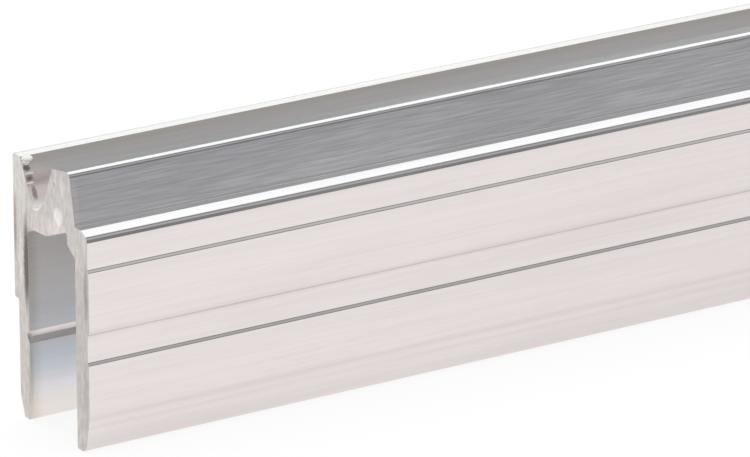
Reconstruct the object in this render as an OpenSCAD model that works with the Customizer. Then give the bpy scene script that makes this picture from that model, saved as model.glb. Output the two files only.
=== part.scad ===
// Closing-edge extrusion for a panelled case: one aluminium bar of constant section.
// Two legs grip a panel from below, a tongue and a groove along the top close on a second bar.
// X runs along the bar, Y from the stepped front face to the plain back, Z up from the leg tips.

/* [Stock] */
// Length of the bar as stocked
bar_length = 1000; // [200:50:3000]

/* [Panel slot] */
// Gap between the two walls, a panel with a little play
panel_gap = 7.5; // [6.3:0.1:10]
// Height of the slot roof above the leg tips
slot_depth = 16.7; // [16.2:0.1:20]
// Height of the middle of the glue groove in the back wall
glue_height = 7.2; // [6:0.05:8.4]
// Width of the glue groove
glue_width = 1; // [0.6:0.05:1.6]
// Depth of the glue groove
glue_depth = 0.25; // [0.1:0.05:0.5]

/* [Walls] */
// Front wall at its thickest band
front_wall = 2.1; // [1.6:0.05:2.6]
// Back wall at its leg
back_wall = 1.6; // [1.2:0.05:2.2]
// Outward step of the back wall above its leg
back_jog = 0.65; // [0.3:0.05:1]
// Height of that step
jog_height = 10.1; // [9.8:0.1:12]
// Thickness of the web between slot roof and shoulder
web_wall = 2.25; // [2:0.05:3.5]

/* [Closing edge] */
// Width of the shoulder in front of the tongue
shoulder_width = 1.9; // [1.6:0.05:2.2]
// Width of its level part beside the tongue
shoulder_flat = 0.9; // [0.4:0.05:1.1]
// Fall from there to the front face
shoulder_fall = 0.44; // [0.3:0.01:0.6]
// Rise of the tongue ridge above the shoulder
tongue_rise = 4.38; // [3.6:0.02:5]
// Width of the tongue top
tongue_top = 2.7; // [2.2:0.05:2.9]
// Lean of the tongue front over its rise
tongue_lean = 0.8; // [0.4:0.05:1]
// Fall of the tongue top towards the groove
tongue_fall = 0.45; // [0.1:0.05:0.6]
// How far the back wall stays below the ridge
back_drop = 0.85; // [0.6:0.05:1.4]
// Width of the back wall's flat rim
rim_width = 1.15; // [0.8:0.05:1.6]
// How far the groove's two sides meet below the shoulder
groove_drop = 0.85; // [0.3:0.05:1]

/* [Front bands] */
// Depth of the top band below the proud band
top_band_depth = 0.15; // [0.1:0.01:0.4]
// Depth of the recessed band above the leg
low_band_depth = 0.28; // [0.24:0.01:0.6]
// Depth of the leg face
leg_band_depth = 0.13; // [0.05:0.01:0.2]
// Height of the step between leg face and recessed band
leg_step_height = 7.78; // [7.4:0.01:8.4]
// Height of the step between recessed and proud band
low_step_height = 10.3; // [9.6:0.05:11]
// Height of the step between proud and top band
top_step_height = 15.73; // [14:0.01:16.4]
// Rise of a slanted step
step_rise = 0.22; // [0.16:0.02:0.6]

/* [Leg tips] */
// Height of the front tip's taper
front_taper = 3.25; // [2:0.05:5]
// Inset of the front tip
front_inset = 0.6; // [0.3:0.05:0.8]
// Height of the back tip's taper
back_taper = 1.9; // [1.2:0.05:4]
// Inset of the back tip
back_inset = 0.65; // [0.3:0.05:0.8]

/* [Edges] */
// Radius of the small die edges
edge_r = 0.2; // [0.1:0.01:0.25]
// Radius of the ridge and the groove's bottom
crown_r = 0.46; // [0.3:0.01:0.6]
// Radius of the shoulder's outer edge
shoulder_r = 0.8; // [0.4:0.05:1.1]
// Radius in the nook between shoulder and tongue
nook_r = 0.02; // [0.02:0.01:0.2]
// Flat facets on each rounded corner
arc_steps = 7; // [4:1:10]

/* [Hidden] */
alloy = [0.82, 0.82, 0.82];
right_angle = 90;

// slot, from the front face back
front_in = front_wall;
back_in = front_in + panel_gap;
leg_out = back_in + back_wall;
head_out = leg_out + back_jog;

// heights
shoulder_z = slot_depth + web_wall;
ridge_z = shoulder_z + tongue_rise;
rim_z = ridge_z - back_drop;
half_step = step_rise / 2;
half_glue = glue_width / 2;

// tongue and groove, from the front face back
tongue_foot = top_band_depth + shoulder_width;
tongue_front = tongue_foot + tongue_lean;
tongue_back = tongue_front + tongue_top;
rim_in = head_out - rim_width;
groove_width = rim_in - tongue_back;
groove_shares = [0.26, 0.565];
lift_share = 0.15;

// hollow below the tongue
haunch_share = 0.16;
hollow_front = front_in + panel_gap * haunch_share;
hollow_share = 0.6;
hollow_back = front_in + panel_gap * hollow_share;
// heights above the slot roof as shares of the web: rear end, crest, front foot and haunch
roof_shares = [0.05, 0.64, 0.18, -0.22];

// edge radii made from the named ones
tip_share = 0.45;
tip_r = front_wall * tip_share;
bend_share = 0.6;
bend_r = front_taper * bend_share;
// part of the shorter side that a rounding may use up
reach_share = 0.48;

// corners as y, z, radius, from the front tip up the front face and round to the slot
section = [
    [front_in, 0, edge_r],
    [leg_band_depth + front_inset, 0, tip_r],
    [leg_band_depth, front_taper, bend_r],
    [leg_band_depth, leg_step_height - half_step, edge_r],
    [low_band_depth, leg_step_height + half_step, edge_r],
    [low_band_depth, low_step_height - half_step, edge_r],
    [0, low_step_height + half_step, edge_r],
    [0, top_step_height - half_step, edge_r],
    [top_band_depth, top_step_height + half_step, edge_r],
    [top_band_depth, shoulder_z - shoulder_fall, shoulder_r],
    [tongue_foot - shoulder_flat, shoulder_z, edge_r],
    [tongue_foot, shoulder_z, nook_r],
    [tongue_front, ridge_z, crown_r],
    [tongue_back, ridge_z - tongue_fall, edge_r],
    [tongue_back + groove_width * groove_shares[0], shoulder_z + tongue_rise * lift_share, tip_r],
    [tongue_back + groove_width * groove_shares[1], shoulder_z - groove_drop, crown_r],
    [rim_in, rim_z, edge_r],
    [head_out, rim_z, edge_r],
    [head_out, jog_height, edge_r],
    [leg_out, jog_height, edge_r],
    [leg_out, back_taper, bend_r],
    [leg_out - back_inset, 0, edge_r],
    [back_in, 0, edge_r],
    [back_in, glue_height - half_glue, edge_r],
    [back_in + glue_depth, glue_height, edge_r],
    [back_in, glue_height + half_glue, edge_r],
    [back_in, slot_depth, crown_r],
    [hollow_back, slot_depth + web_wall * roof_shares[0], tip_r],
    [hollow_front, slot_depth + web_wall * roof_shares[1], edge_r],
    [hollow_front, slot_depth + web_wall * roof_shares[2], edge_r],
    [front_in, slot_depth + web_wall * roof_shares[3], edge_r]
];

// points on the arc that rounds corner b between its neighbours a and c
function arc_points(a, b, c, r) =
    let (
        side_a = norm(a - b),
        side_c = norm(c - b),
        to_a = (a - b) / side_a,
        to_c = (c - b) / side_c,
        half_angle = acos(to_a * to_c) / 2,
        back_off = min(r / tan(half_angle), reach_share * min(side_a, side_c)),
        arc_r = back_off * tan(half_angle),
        bisector = (to_a + to_c) / norm(to_a + to_c),
        centre = b + bisector * arc_r / sin(half_angle),
        half_sweep = right_angle - half_angle,
        turn = cross(to_a, to_c) > 0 ? -1 : 1,
        mid = atan2(-bisector[1], -bisector[0])
    )
    [for (i = [0:arc_steps])
        let (angle = mid - turn * half_sweep * (1 - 2 * i / arc_steps))
        centre + arc_r * [cos(angle), sin(angle)]];

function flat(corner) = [corner[0], corner[1]];

function rounded_outline(corners) =
    let (count = len(corners))
    [for (i = [0:count - 1])
        each arc_points(
            flat(corners[(i + count - 1) % count]),
            flat(corners[i]),
            flat(corners[(i + 1) % count]),
            corners[i][2])];

// the section is drawn in the XY plane and stood up so that its axis becomes the bar's length
module profile_bar() {
    color(alloy)
    translate([-bar_length / 2, -head_out / 2, 0])
    rotate([right_angle, 0, right_angle])
    linear_extrude(height = bar_length)
    polygon(rounded_outline(section));
}

profile_bar();
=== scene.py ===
from math import pi, radians

import bpy
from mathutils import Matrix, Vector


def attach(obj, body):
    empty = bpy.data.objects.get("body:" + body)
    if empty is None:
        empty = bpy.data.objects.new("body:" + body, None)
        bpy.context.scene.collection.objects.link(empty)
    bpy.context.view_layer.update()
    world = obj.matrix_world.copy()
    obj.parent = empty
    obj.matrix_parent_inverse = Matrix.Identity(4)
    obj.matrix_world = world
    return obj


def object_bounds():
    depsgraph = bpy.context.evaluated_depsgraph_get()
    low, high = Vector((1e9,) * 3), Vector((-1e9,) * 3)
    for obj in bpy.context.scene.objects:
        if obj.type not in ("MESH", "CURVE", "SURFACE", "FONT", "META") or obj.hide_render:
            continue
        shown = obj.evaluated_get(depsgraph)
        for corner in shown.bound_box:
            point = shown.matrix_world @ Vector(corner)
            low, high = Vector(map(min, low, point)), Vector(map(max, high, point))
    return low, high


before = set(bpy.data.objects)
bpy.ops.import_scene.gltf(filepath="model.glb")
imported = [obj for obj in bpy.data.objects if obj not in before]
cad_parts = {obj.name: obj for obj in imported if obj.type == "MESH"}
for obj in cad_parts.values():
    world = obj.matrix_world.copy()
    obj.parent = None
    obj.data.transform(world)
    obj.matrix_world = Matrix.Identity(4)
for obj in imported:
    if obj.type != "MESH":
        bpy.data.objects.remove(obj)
cadLow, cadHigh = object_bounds()
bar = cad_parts["profile_bar"]
print("frame in, bar size", [round(v, 4) for v in cadHigh - cadLow])

bpy.context.scene.view_settings.view_transform = "Standard"
bpy.context.scene.cycles.glossy_bounces = 10  # the slot's walls mirror each other many times

# camera worked out from the vanishing lines of the bar's edges
shot = {
    "place": (-0.76435, -0.456925, 0.204394),
    "yaw": 32.8855,  # degrees off square-on, the bar runs away to the right
    "pitch": 19.499,  # degrees below level
    "lens": 333.8,  # mm
    "sensor": 36,  # mm wide
}

# what surrounds the bar: white table and room, soft lamps, grey flags that only gloss sees
studio = {
    "floorSide": 60.0,
    "floorDrop": 0.0001,  # a hair under the leg tips
    "floorMatt": (0.86, 0.86, 0.86),
    "floorWhite": (1.06, 1.06, 1.06),
    "floorGlow": 0.8,  # share of the floor that stays white in shade
    # warm white of the table in the metal, falling off along the bar
    "mirroredNear": (1.052, 0.948, 0.912),
    "mirroredFar": (1.0, 0.903, 0.869),
    "mirroredFade": (-0.472, -0.435),
    "roomWhite": 1.0,
    # turn in degrees
    "lamps": {
        "topLamp": {
            "place": (0.1, 0.1, 1.2),
            "size": (2.6, 0.9),
            "watts": 1.9,
            "turn": (0, 0, 0),
        },
        "backLamp": {
            "place": (0.4, 1.0, 0.62),
            "size": (3.0, 0.8),
            "watts": 2.2,
            "turn": (90, 0, 180),
        },
    },
    "flagReach": (-1.4, 2.2),  # left and right ends
    "flags": {
        # height and grey of each stop, from the table up
        "frontFlag": {
            "y": -0.17,
            "shades": (
                (0.0, (0.39, 0.39, 0.395)),
                (0.010, (0.365, 0.365, 0.372)),
                (0.022, (0.43, 0.43, 0.458)),
                (0.033, (0.18, 0.18, 0.19)),
                (0.09, (0.19, 0.19, 0.19)),
                (0.12, (0.443, 0.424, 0.418)),
                (0.16, (0.455, 0.436, 0.43)),
                (0.19, (0.57, 0.535, 0.515)),
                (0.24, (0.57, 0.535, 0.515)),
                (0.28, (0.28, 0.28, 0.275)),
                (0.55, (0.28, 0.28, 0.275)),
            ),
        },
        "backFlag": {
            "y": 0.35,
            "shades": (
                (0.0, (0.38, 0.38, 0.38)),
                (0.14, (0.38, 0.38, 0.38)),
            ),
        },
    },
}


def clearSelection():
    for thing in bpy.context.selected_objects:
        thing.select_set(False)


nodeGap = (200, -180)  # across and down in the node editor
# numbers of a Mix node's two inputs and its output, by what it mixes
mixSockets = {"FLOAT": (2, 3, 0), "VECTOR": (4, 5, 1), "RGBA": (6, 7, 2)}


def newPaint(name):
    paint = bpy.data.materials.new(name)
    paint.use_nodes = True
    paint.node_tree.nodes.clear()
    return paint, paint.node_tree


def put(tree, kind, at, **settings):
    made = tree.nodes.new(kind)
    made.location = (at[0] * nodeGap[0], at[1] * nodeGap[1])
    for name, value in settings.items():
        setattr(made, name, value)
    return made


def feed(tree, value, socket):
    # a socket is wired in, anything else is typed in
    if isinstance(value, bpy.types.NodeSocket):
        tree.links.new(value, socket)
    else:
        socket.default_value = value


def surface(tree, shader, at):
    out = put(tree, "ShaderNodeOutputMaterial", at)
    feed(tree, shader.outputs[0], out.inputs["Surface"])


def axes(tree, vector, at):
    made = put(tree, "ShaderNodeSeparateXYZ", at)
    feed(tree, vector, made.inputs[0])
    return made.outputs


def maths(tree, operation, first, second, at):
    made = put(tree, "ShaderNodeMath", at, operation=operation)
    feed(tree, first, made.inputs[0])
    feed(tree, second, made.inputs[1])
    return made.outputs[0]


def apart(tree, value, middle, at):
    offset = maths(tree, "SUBTRACT", value, middle, at)
    return maths(tree, "ABSOLUTE", offset, 0.0, (at[0] + 1, at[1]))


def fade(tree, value, limits, results, at):
    made = put(tree, "ShaderNodeMapRange", at, interpolation_type="SMOOTHSTEP")
    feed(tree, value, made.inputs["Value"])
    made.inputs["From Min"].default_value, made.inputs["From Max"].default_value = limits
    made.inputs["To Min"].default_value, made.inputs["To Max"].default_value = results
    return made.outputs[0]


def mixed(tree, kind, factor, first, second, at, blend="MIX"):
    made = put(tree, "ShaderNodeMix", at, data_type=kind, blend_type=blend)
    one, two, result = mixSockets[kind]
    feed(tree, factor, made.inputs[0])
    for value, number in ((first, one), (second, two)):
        feed(tree, (*value, 1) if isinstance(value, tuple) else value, made.inputs[number])
    return made.outputs[result]


def tinted(tree, factor, first, second, at):
    return mixed(tree, "RGBA", factor, first, second, at)


def toned(tree, colour, tone, at, share=1.0):
    return mixed(tree, "RGBA", share, colour, tone, at, "MULTIPLY")


def between(tree, factor, first, second, at):
    return mixed(tree, "FLOAT", factor, first, second, at)


def ramped(tree, height, shades, unit, at):
    # the last stop's height is the ramp's end
    top = shades[-1][0]
    ramp = put(tree, "ShaderNodeValToRGB", at)
    stops = ramp.color_ramp.elements
    while len(stops) < len(shades):
        stops.new(0.5)  # moved to its height below
    for stop, (z, shade) in zip(stops, shades):
        stop.position = z / top
        stop.color = (*shade, 1)
    share = maths(tree, "DIVIDE", height, top * unit, (at[0] - 1, at[1]))
    feed(tree, share, ramp.inputs[0])
    return ramp.outputs[0]


def bumped(tree, height, depth, normal, at):
    made = put(tree, "ShaderNodeBump", at)
    made.inputs["Distance"].default_value = depth
    feed(tree, height, made.inputs["Height"])
    if normal:
        feed(tree, normal, made.inputs["Normal"])
    return made.outputs[0]


def setCamera():
    turn = (radians(90 - shot["pitch"]), 0, radians(-shot["yaw"]))
    bpy.ops.object.camera_add(location=shot["place"], rotation=turn)
    camera = bpy.context.object
    camera.name = "photoCamera"
    camera.data.lens = shot["lens"]
    camera.data.sensor_width = shot["sensor"]
    bpy.context.scene.camera = camera


def setWorld():
    world = bpy.data.worlds.new("studioWorld")
    bpy.context.scene.world = world
    world.use_nodes = True
    tree = world.node_tree
    tree.nodes.clear()
    white = put(tree, "ShaderNodeBackground", (0, 0))
    white.inputs["Color"].default_value = (1, 1, 1, 1)
    white.inputs["Strength"].default_value = studio["roomWhite"]
    out = put(tree, "ShaderNodeOutputWorld", (1, 0))
    feed(tree, white.outputs[0], out.inputs["Surface"])


def addFloor():
    clearSelection()
    place = (0, 0, -studio["floorDrop"])
    bpy.ops.mesh.primitive_plane_add(size=studio["floorSide"], location=place)
    floor = bpy.context.object
    floor.name = "studioFloor"
    paint, tree = newPaint("paleTable")
    # rays that look at the table straight, in a mirror or through glass see it nearly white
    path = put(tree, "ShaderNodeLightPath", (0, 0)).outputs
    straight = maths(tree, "MAXIMUM", path["Is Camera Ray"], path["Is Glossy Ray"], (1, 0))
    direct = maths(tree, "MAXIMUM", straight, path["Is Transmission Ray"], (2, 0))
    coordinates = put(tree, "ShaderNodeTexCoord", (-2, 2))
    where = axes(tree, coordinates.outputs["Object"], (-1, 2))
    far = fade(tree, where["X"], studio["mirroredFade"], (0, 1), (0, 2))
    mirrored = tinted(tree, far, studio["mirroredNear"], studio["mirroredFar"], (1, 2))
    glow = put(tree, "ShaderNodeEmission", (3, 2))
    white = tinted(tree, path["Is Glossy Ray"], studio["floorWhite"], mirrored, (2, 2))
    feed(tree, white, glow.inputs["Color"])
    matt = put(tree, "ShaderNodeBsdfDiffuse", (3, 1))
    matt.inputs["Color"].default_value = (*studio["floorMatt"], 1)
    mix = put(tree, "ShaderNodeMixShader", (4, 0))
    share = maths(tree, "MULTIPLY", direct, studio["floorGlow"], (3, 0))
    for number, value in enumerate((share, matt.outputs[0], glow.outputs[0])):
        feed(tree, value, mix.inputs[number])
    surface(tree, mix, (5, 0))
    floor.data.materials.append(paint)


def addLamp(name):
    lamp = studio["lamps"][name]
    turn = [radians(angle) for angle in lamp["turn"]]
    bpy.ops.object.light_add(type="AREA", location=lamp["place"], rotation=turn)
    light = bpy.context.object
    light.name = name
    light.data.shape = "RECTANGLE"
    light.data.size, light.data.size_y = lamp["size"]
    light.data.energy = lamp["watts"]
    light.visible_camera = False


def addFlag(name):
    flag = studio["flags"][name]
    left, right = studio["flagReach"]
    top = flag["shades"][-1][0]
    clearSelection()
    middle = ((left + right) / 2, flag["y"], top / 2)
    bpy.ops.mesh.primitive_plane_add(size=1, rotation=(pi / 2, 0, 0), location=middle)
    card = bpy.context.object
    card.name = name
    card.scale = (right - left, top, 1)
    bpy.ops.object.transform_apply(location=True, rotation=True, scale=True)
    paint, tree = newPaint(name + "Grey")
    coordinates = put(tree, "ShaderNodeTexCoord", (0, 0))
    where = axes(tree, coordinates.outputs["Object"], (1, 0))
    glow = put(tree, "ShaderNodeEmission", (4, 0))
    feed(tree, ramped(tree, where["Z"], flag["shades"], 1, (3, 0)), glow.inputs["Color"])
    surface(tree, glow, (5, 0))
    card.data.materials.append(paint)
    card.visible_camera = False
    card.visible_diffuse = False
    card.visible_transmission = False
    card.visible_shadow = False


# places on the bar are in mm: in from the near cut, back from the front face, up from the tips
millimetre = 0.001


def onBar(inFrom, back, up):
    return cadLow[0] + inFrom * millimetre, cadLow[1] + back * millimetre, up * millimetre


def backOnBar(*places):
    return [onBar(0, back, 0)[1] for back in places]


# mill skin outside, duller skin in the slot, sawn ends
millFinish = {
    "skin": (0.80, 0.805, 0.815),
    "gloss": (0.14, 0.22),
    "glossSpan": (0.3, 0.7),  # part of the clouds that the gloss spreads over
    # die lines about a millimetre apart, hair-fine scratches, soft clouds
    # scale along, across and up the bar, bump depth in metres, swing of the tone
    "streak": {"scale": (14, 1000, 1000), "detail": 2, "depth": 0.000005, "swing": 0.018},
    "line": {"scale": (110, 4300, 4300), "detail": 3, "depth": 0.0000035, "swing": 0.022},
    "cloud": {"scale": (40, 160, 160), "detail": 4, "swing": 0.03},
    "toneSpan": (0.25, 0.75),  # part of a noise that its swing spreads over
    # short scratches up the tongue's front, ahead of and above these mm
    "brush": {"scale": (230, 5200, 5200), "detail": 3, "swing": 0.11, "back": 2.95, "up": 19.1},
    # painted shade along the front's step and bend and down its foot, painted highlight on the
    # top step: height, half height in mm, tone
    "frontShadeAndHighlight": (
        (10.34, 0.55, 0.90),
        (3.08, 0.45, 0.93),
        (2.2, 0.35, 0.955),
        (0.8, 1.4, 0.965),
        (15.73, 0.26, 1.2),
    ),
    # painted shade on the rim's outer edge, a warm tint on the rim, painted shade in the groove
    # below it mm back where it starts, is full and ends, mm up, tone; the back face is left as it
    # is
    "rimShadeAndTint": (
        ((11.25, 11.7, 12.0), (22.38, 23.0), (0.88, 0.88, 0.86)),
        ((10.5, 10.8, 12.0), (22.38, 23.0), (0.985, 0.983, 0.955)),
        ((10.2, 10.6, 10.9), (20.6, 22.4), (0.92, 0.91, 0.86)),
    ),
    "slot": {
        "sides": (2.0, 9.95),  # mm back
        "top": 18.5,  # mm up
        "skin": (0.915, 0.91, 0.905),
        "gloss": (0.27, 0.34),
        # height in mm and tint of the skin: painted reflections, bluish and darker low in the
        # slot, paler higher up
        "reflectionTints": (
            (0.0, (1.0, 1.01, 1.0)),
            (1.4, (0.99, 1.03, 1.04)),
            (2.1, (0.98, 1.03, 1.08)),
            (2.7, (0.94, 1.01, 1.09)),
            (4.1, (0.85, 0.95, 1.04)),
            (5.5, (0.81, 0.89, 0.99)),
            (6.4, (0.88, 0.905, 0.94)),
            (8.2, (1.03, 1.03, 1.02)),
            (11.0, (1.075, 1.075, 1.06)),
            (18.0, (1.02, 1.03, 1.03)),
        ),
        # darker strip inside the slot next to the cut, reach in mm
        "nearCutDark": {"reach": 1.4, "tone": (0.84, 0.81, 0.78)},
        # lower facet of the glue groove: mm back, middle and half height in mm
        "pocket": {
            "back": 9.62,
            "up": 6.94,
            "half": 0.27,
            "skin": (0.96, 0.965, 0.965),
            "gloss": 0.6,
        },
    },
    "sawn": {
        "facing": 0.9,  # least share of the normal along the bar
        "pale": (0.728, 0.742, 0.737),
        "dull": (0.555, 0.566, 0.557),
        "gloss": (0.32, 0.46),
        "span": (0.3, 0.75),  # part of the grain that these spread over
        # longer up the cut, as the blade went through
        "grain": {"scale": (1000, 2000, 1100), "detail": 4, "depth": 0.000006},
        # metres, and the arcs' share in the grain
        "arcs": {"pitch": 0.0006, "depth": 0.000003, "share": 0.07},
        "centre": (0.0, 0.16, 0.02),  # blade axis behind the bar
        "wave": {"Distortion": 6, "Detail": 3, "Detail Scale": 0.8},
        "waveTurn": 20,  # radians a metre of the wave texture at scale 1
    },
    # painted highlights and shade at the near cut, and a few darker and lighter patches: middle
    # and half size in mm, tone over the metal's colour
    "marks": {
        # full inside the first share of its size, gone at the second
        "edge": (0.45, 1.2),
        "ragged": {"scale": (5200, 5200, 5200), "detail": 2},
        "wander": 0.16,  # mm by which a mark's edge wanders
        "onCut": (
            # painted shade on the lower front wall, painted light on the upper back wall and the
            # web
            ("frontWallShade", (0.0, 1.2, 9.2), (0.3, 2.2, 7.6), (0.905, 0.905, 0.905)),
            ("backWallLit", (0.0, 11.1, 20.6), (0.3, 1.4, 4.0), (1.12, 1.14, 1.12)),
            ("webLit", (0.0, 7.2, 17.6), (0.3, 2.4, 1.2), (1.07, 1.05, 1.05)),
            # painted shade on the back wall's rolled inner edge
            ("backWallRollShade", (0.0, 9.88, 13.5), (0.25, 0.50, 4.3), (0.26, 0.24, 0.205)),
            # painted highlight on the back wall's cut
            ("backWallHighlight", (0.0, 10.8, 13.6), (0.2, 0.35, 3.0), (1.16, 1.16, 1.15)),
            ("backWallEdge", (0.0, 11.62, 16.6), (0.2, 0.3, 3.4), (0.68, 0.66, 0.62)),
            # painted shade in the glue groove's corner
            ("glueGrooveShade", (0.0, 9.6, 7.25), (0.4, 0.38, 0.36), (0.42, 0.40, 0.34)),
            ("backLegEdge", (0.0, 9.6, 3.6), (0.3, 0.35, 3.4), (0.82, 0.82, 0.76)),
            # painted shade on the rolled edges of the front wall and leg
            ("frontWallRollShade", (0.0, 0.45, 13.7), (0.2, 0.42, 2.9), (0.72, 0.70, 0.69)),
            ("frontLegRollShade", (0.0, 0.62, 4.6), (0.2, 0.36, 3.6), (0.88, 0.86, 0.85)),
            ("tongueDull", (0.0, 4.9, 22.9), (0.2, 2.2, 1.2), (0.92, 0.91, 0.91)),
            # painted highlights on the tongue's cut
            ("tongueHighlight", (0.0, 5.1, 22.3), (0.2, 0.28, 0.7), (1.22, 1.22, 1.22)),
            ("tongueRidgeHighlight", (0.0, 4.1, 21.9), (0.2, 0.3, 1.4), (1.22, 1.23, 1.24)),
            ("tongueNick", (0.0, 5.25, 21.6), (0.2, 0.25, 0.22), (0.78, 0.78, 0.78)),
            # painted highlight on the web under the tongue
            ("webGlint", (0.0, 4.7, 19.05), (0.2, 0.8, 0.78), (1.38, 1.38, 1.37)),
            ("tongueCool", (0.0, 4.2, 20.6), (0.3, 2.2, 2.6), (0.975, 0.995, 1.015)),
            # painted highlight on the web under the tongue
            ("webHighlight", (0.0, 4.9, 17.95), (0.2, 1.6, 0.95), (1.15, 1.135, 1.14)),
        ),
        "onSkin": (
            ("slopeEdge", (0.15, 2.35, 21.0), (0.5, 0.9, 2.6), (1.14, 1.06, 1.05)),
            ("flankBlush", (0.9, 9.9, 21.2), (1.8, 0.7, 0.9), (1.16, 1.08, 1.06)),
            # painted shade in the groove near the cut
            ("grooveShade", (0.9, 9.1, 19.9), (3.4, 1.2, 1.45), (0.69, 0.63, 0.605)),
            # painted shade along the groove's back edge at the cut, where the burr curls over
            ("rimRollShade", (0.36, 10.25, 21.55), (0.34, 0.40, 0.30), (0.36, 0.31, 0.30)),
            ("flankShadeDash", (0.38, 9.85, 20.78), (0.36, 0.4, 0.26), (0.42, 0.37, 0.36)),
            ("flankLowShade", (0.50, 9.26, 19.68), (0.26, 0.6, 0.66), (0.50, 0.45, 0.44)),
            # painted shade in the glue groove's corner
            ("glueGrooveShade", (0.0, 9.6, 7.25), (0.4, 0.38, 0.36), (0.55, 0.53, 0.48)),
            ("backLegEdge", (0.0, 9.6, 3.6), (0.4, 0.35, 3.4), (0.86, 0.86, 0.80)),
        ),
    },
}


def millAluminium():
    slotFinish = millFinish["slot"]
    sawnFinish = millFinish["sawn"]
    sawMarks = millFinish["marks"]
    markRow = 20  # row of the first mark in the node editor
    paint, tree = newPaint("millAluminium")
    metal = put(tree, "ShaderNodeBsdfPrincipled", (15, 0))
    metal.inputs["Metallic"].default_value = 1
    surface(tree, metal, (16, 0))
    coordinates = put(tree, "ShaderNodeTexCoord", (0, 0))
    place = coordinates.outputs["Object"]
    where = axes(tree, place, (1, 5))

    def noise(grain, at):
        stretch = put(tree, "ShaderNodeMapping", at)
        stretch.inputs["Scale"].default_value = grain["scale"]
        feed(tree, place, stretch.inputs["Vector"])
        made = put(tree, "ShaderNodeTexNoise", (at[0] + 1, at[1]))
        made.inputs["Scale"].default_value = 1
        made.inputs["Detail"].default_value = grain["detail"]
        feed(tree, stretch.outputs[0], made.inputs["Vector"])
        return made.outputs

    # faces that look along the bar are the saw cuts
    facing = axes(tree, coordinates.outputs["Normal"], (1, 4))
    along = maths(tree, "ABSOLUTE", facing["X"], 0.0, (2, 4))
    isCut = maths(tree, "GREATER_THAN", along, sawnFinish["facing"], (3, 4))

    # the slot: between the two walls and under its roof
    frontSide, backSide = backOnBar(*slotFinish["sides"])
    behind = maths(tree, "GREATER_THAN", where["Y"], frontSide, (2, 5))
    before = maths(tree, "LESS_THAN", where["Y"], backSide, (2, 6))
    under = maths(tree, "LESS_THAN", where["Z"], slotFinish["top"] * millimetre, (2, 7))
    walls = maths(tree, "MULTIPLY", behind, before, (3, 5))
    inSlot = maths(tree, "MULTIPLY", walls, under, (4, 5))

    # mill skin: die lines drawn out along the bar, soft clouding
    grains = {kind: noise(millFinish[kind], (1, row))[0]
              for row, kind in enumerate(("streak", "line", "cloud"))}
    shade = 1.0
    for row, (kind, grain) in enumerate(grains.items()):
        swing = millFinish[kind]["swing"]
        part = fade(tree, grain, millFinish["toneSpan"], (-swing, swing), (4, row))
        shade = maths(tree, "ADD", shade, part, (5, row))
    skin = toned(tree, millFinish["skin"], shade, (6, 0))

    # painted shade and highlight along the front, scratches up the tongue, painted shade and a
    # warm tint on the rim
    for row, (middle, half, tone) in enumerate(millFinish["frontShadeAndHighlight"]):
        distance = apart(tree, where["Z"], middle * millimetre, (5, 3 + row))
        bandTone = fade(tree, distance, (0, half * millimetre), (tone, 1), (7, 3 + row))
        front = between(tree, behind, bandTone, 1.0, (8, 3 + row))
        skin = toned(tree, skin, front, (7 + row, 0))
    brush = millFinish["brush"]
    ahead = maths(tree, "LESS_THAN", where["Y"], backOnBar(brush["back"])[0], (5, 9))
    raised = maths(tree, "GREATER_THAN", where["Z"], brush["up"] * millimetre, (5, 10))
    onSlope = maths(tree, "MULTIPLY", ahead, raised, (6, 12))
    swings = (1 - brush["swing"], 1 + brush["swing"])
    scratches = fade(tree, noise(brush, (1, 12))[0], millFinish["toneSpan"], swings, (5, 12))
    scratched = toned(tree, skin, scratches, (7, 12))
    skin = tinted(tree, onSlope, skin, scratched, (8, 12))
    for row, (back, up, tone) in enumerate(millFinish["rimShadeAndTint"]):
        start, full, end = backOnBar(*back)
        outer = fade(tree, where["Y"], (start, full), (0, 1), (5, 13 + row))
        inner = maths(tree, "LESS_THAN", where["Y"], end, (6, 13 + row))
        run = maths(tree, "MULTIPLY", outer, inner, (7, 13 + row))
        over = maths(tree, "GREATER_THAN", where["Z"], up[0] * millimetre, (5, 16 + row))
        below = maths(tree, "LESS_THAN", where["Z"], up[1] * millimetre, (6, 16 + row))
        level = maths(tree, "MULTIPLY", over, below, (7, 16 + row))
        rimArea = maths(tree, "MULTIPLY", run, level, (8, 13 + row))
        skin = toned(tree, skin, tone, (9, 13 + row), rimArea)

    # slot skin: painted reflections tint it by height, and it is darker next to the cut
    slotReflection = ramped(tree, where["Z"], slotFinish["reflectionTints"], millimetre, (5, 6))
    slotSkin = toned(tree, slotReflection, slotFinish["skin"], (6, 6))
    nearCutDark = slotFinish["nearCutDark"]
    nearCutEnds = (onBar(0, 0, 0)[0], onBar(nearCutDark["reach"], 0, 0)[0])
    near = fade(tree, where["X"], nearCutEnds, (1, 0), (6, 7))
    slotSkin = toned(tree, slotSkin, nearCutDark["tone"], (7, 6), near)
    slotSkin = toned(tree, slotSkin, shade, (8, 6))
    pocket = slotFinish["pocket"]
    deep = maths(tree, "GREATER_THAN", where["Y"], backOnBar(pocket["back"])[0], (7, 7))
    distance = apart(tree, where["Z"], pocket["up"] * millimetre, (7, 8))
    level = maths(tree, "LESS_THAN", distance, pocket["half"] * millimetre, (9, 8))
    inPocket = maths(tree, "MULTIPLY", deep, level, (10, 7))
    slotSkin = tinted(tree, inPocket, slotSkin, pocket["skin"], (9, 6))
    skin = tinted(tree, inSlot, skin, slotSkin, (9, 0))

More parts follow.
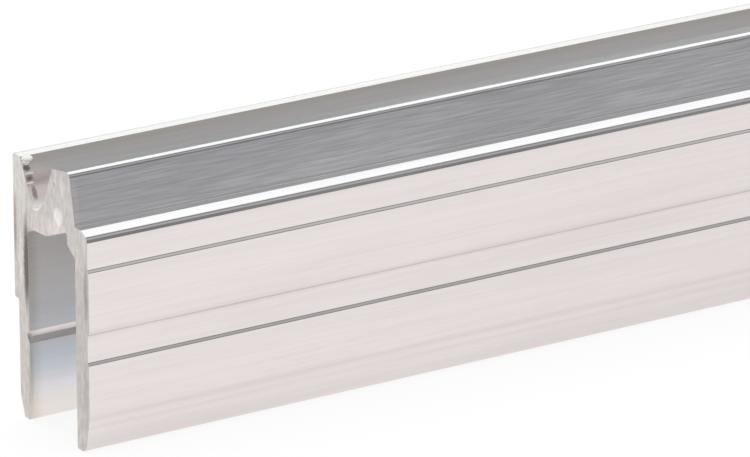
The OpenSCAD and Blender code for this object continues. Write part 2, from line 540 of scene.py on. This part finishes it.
    # sawn ends: shallow arcs round the blade's axis and a mottled grain
    arcs = sawnFinish["arcs"]
    sawMap = put(tree, "ShaderNodeMapping", (1, 3))
    sawMap.inputs["Location"].default_value = [-v for v in sawnFinish["centre"]]
    feed(tree, place, sawMap.inputs["Vector"])
    saw = put(tree, "ShaderNodeTexWave", (2, 3), wave_type="RINGS", rings_direction="X")
    saw.inputs["Scale"].default_value = 2 * pi / sawnFinish["waveTurn"] / arcs["pitch"]
    for name, value in sawnFinish["wave"].items():
        saw.inputs[name].default_value = value
    feed(tree, sawMap.outputs[0], saw.inputs["Vector"])
    mottle = noise(sawnFinish["grain"], (1, 8))[0]
    grain = between(tree, arcs["share"], mottle, saw.outputs["Fac"], (4, 8))
    paleShare = fade(tree, grain, sawnFinish["span"], (0, 1), (5, 8))
    sawn = tinted(tree, paleShare, sawnFinish["dull"], sawnFinish["pale"], (6, 8))

    # painted highlights and shade at the near cut, and a few patches, each a soft ragged spot
    reach = sawMarks["wander"] * millimetre  # the noise's 0 to 1 becomes minus to plus this
    centred = put(tree, "ShaderNodeVectorMath", (3, 9), operation="MULTIPLY_ADD")
    feed(tree, noise(sawMarks["ragged"], (1, 9))["Color"], centred.inputs[0])
    centred.inputs[1].default_value = [2 * reach] * 3
    centred.inputs[2].default_value = [-reach] * 3
    spot = put(tree, "ShaderNodeVectorMath", (4, 9), operation="ADD")
    feed(tree, place, spot.inputs[0])
    feed(tree, centred.outputs[0], spot.inputs[1])

    def marked(colour, marks, left):
        for row, (name, middle, size, tone) in enumerate(marks, markRow):
            off = put(tree, "ShaderNodeVectorMath", (left, row), operation="SUBTRACT", label=name)
            feed(tree, spot.outputs[0], off.inputs[0])
            off.inputs[1].default_value = onBar(*middle)
            share = put(tree, "ShaderNodeVectorMath", (left + 1, row), operation="DIVIDE")
            feed(tree, off.outputs[0], share.inputs[0])
            share.inputs[1].default_value = [half * millimetre for half in size]
            length = put(tree, "ShaderNodeVectorMath", (left + 2, row), operation="LENGTH")
            feed(tree, share.outputs[0], length.inputs[0])
            mask = fade(tree, length.outputs["Value"], sawMarks["edge"], (1, 0), (left + 3, row))
            colour = toned(tree, colour, tone, (left + 4, row), mask)
        return colour

    skin = marked(skin, sawMarks["onSkin"], 5)
    sawn = marked(sawn, sawMarks["onCut"], 11)
    colour = tinted(tree, isCut, skin, sawn, (14, 0))
    colour.node.clamp_result = True  # overlapping marks stay below white
    feed(tree, colour, metal.inputs["Base Color"])

    clouds = grains["cloud"]
    gloss = fade(tree, clouds, millFinish["glossSpan"], millFinish["gloss"], (11, 1))
    slotGloss = fade(tree, clouds, millFinish["glossSpan"], slotFinish["gloss"], (11, 2))
    slotGloss = between(tree, inPocket, slotGloss, pocket["gloss"], (11, 6))
    sawnGloss = fade(tree, grain, sawnFinish["span"], sawnFinish["gloss"], (11, 3))
    gloss = between(tree, inSlot, gloss, slotGloss, (12, 1))
    feed(tree, between(tree, isCut, gloss, sawnGloss, (13, 1)), metal.inputs["Roughness"])

    drawn = bumped(tree, grains["streak"], millFinish["streak"]["depth"], None, (11, 4))
    drawn = bumped(tree, grains["line"], millFinish["line"]["depth"], drawn, (12, 4))
    cut = bumped(tree, saw.outputs["Fac"], arcs["depth"], None, (11, 5))
    cut = bumped(tree, mottle, sawnFinish["grain"]["depth"], cut, (12, 5))
    feed(tree, mixed(tree, "VECTOR", isCut, drawn, cut, (13, 4)), metal.inputs["Normal"])
    return paint


# slivers that the blade curled over the groove's edge
sawBurr = {
    # middle and half size in mm, lean in degrees
    "slivers": (
        ((0.58, 10.64, 22.25), (0.56, 0.52, 0.17), 24),
        ((0.34, 10.36, 22.04), (0.30, 0.34, 0.13), 34),
        ((0.46, 10.00, 21.12), (0.42, 0.10, 0.07), 40),
        ((0.36, 9.65, 20.42), (0.34, 0.10, 0.07), 40),
        ((0.30, 8.46, 18.46), (0.28, 0.42, 0.19), 12),
    ),
    "facets": 4,  # subdivisions of a sliver
    "ragged": 0.00002,  # metres by which its points wander
    "smooth": {"factor": 0.5, "repeat": 2},
    "pale": (0.96, 0.955, 0.94),
    "dull": (0.80, 0.79, 0.77),
    "gloss": (0.42, 0.62),
    "grain": 3800,  # torn metal, a few grains to the millimetre
    "grainSpan": (0.3, 0.7),
    "grainDepth": 0.00002,
}


def tornAluminium():
    paint, tree = newPaint("tornAluminium")
    coordinates = put(tree, "ShaderNodeTexCoord", (0, 0))
    torn = put(tree, "ShaderNodeTexNoise", (1, 0))
    torn.inputs["Scale"].default_value = sawBurr["grain"]
    feed(tree, coordinates.outputs["Object"], torn.inputs["Vector"])
    grain = torn.outputs[0]
    paleShare = fade(tree, grain, sawBurr["grainSpan"], (0, 1), (2, 0))
    colour = tinted(tree, paleShare, sawBurr["dull"], sawBurr["pale"], (3, 0))
    gloss = fade(tree, grain, sawBurr["grainSpan"], sawBurr["gloss"], (3, 1))
    normal = bumped(tree, grain, sawBurr["grainDepth"], None, (3, 2))
    metal = put(tree, "ShaderNodeBsdfPrincipled", (4, 0))
    metal.inputs["Metallic"].default_value = 1
    feed(tree, colour, metal.inputs["Base Color"])
    feed(tree, gloss, metal.inputs["Roughness"])
    feed(tree, normal, metal.inputs["Normal"])
    surface(tree, metal, (5, 0))
    return paint


def addBurr():
    flakes = []
    for seed, (middle, half, lean) in enumerate(sawBurr["slivers"]):
        clearSelection()
        bpy.ops.mesh.primitive_ico_sphere_add(
            subdivisions=sawBurr["facets"], radius=millimetre, location=onBar(*middle),
            rotation=(radians(lean), 0, 0), scale=half)
        bpy.ops.object.transform_apply(location=True, rotation=True, scale=True)
        bpy.ops.object.mode_set(mode="EDIT")
        bpy.ops.mesh.select_all(action="SELECT")
        bpy.ops.transform.vertex_random(offset=sawBurr["ragged"], seed=seed)
        bpy.ops.mesh.vertices_smooth(**sawBurr["smooth"])
        bpy.ops.object.mode_set(mode="OBJECT")
        bpy.ops.object.shade_smooth()
        flakes.append(bpy.context.object)
    for flake in flakes:
        flake.select_set(True)
    bpy.ops.object.join()
    burr = bpy.context.object
    burr.name = "sawBurr"
    burr.data.materials.append(tornAluminium())
    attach(burr, "root")


setCamera()
setWorld()
addFloor()
for lampName in studio["lamps"]:
    addLamp(lampName)
for flagName in studio["flags"]:
    addFlag(flagName)
print("studio up")

barPaint = millAluminium()
for slot in bar.material_slots:
    slot.material = barPaint
print("bar finished in", barPaint.name, "on", len(bar.material_slots), "slot")
addBurr()
print("burr on the groove's edge")
